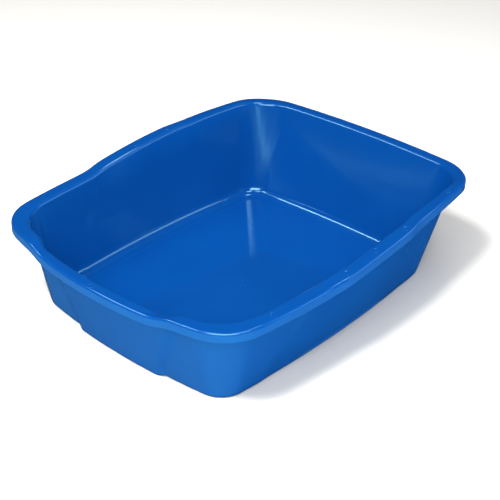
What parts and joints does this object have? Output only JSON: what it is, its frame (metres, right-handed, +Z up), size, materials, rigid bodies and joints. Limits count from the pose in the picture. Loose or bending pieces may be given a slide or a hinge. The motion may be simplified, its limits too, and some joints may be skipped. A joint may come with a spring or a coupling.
{
  "type": "open cat litter pan",
  "caption": "Large open moulded litter pan with a flat floor, drafted bowed walls, a lowered entry side, a raised back and a rolled rim flange with a turned-down skirt.",
  "frame": {"origin": "centre of the bounding box in plan, on the underside of the floor", "axes": "+Z up; +Y from the low entry side to the high back; +X across the pan, to the right of a cat walking in"},
  "size_m": [0.449, 0.546, 0.1412],
  "materials": {
    "litter_pan": "glossy injection-moulded polypropylene, royal blue"
  },
  "bodies": {
    "root": {"litter_pan": "litter_pan"}
  },
  "joints": []
}
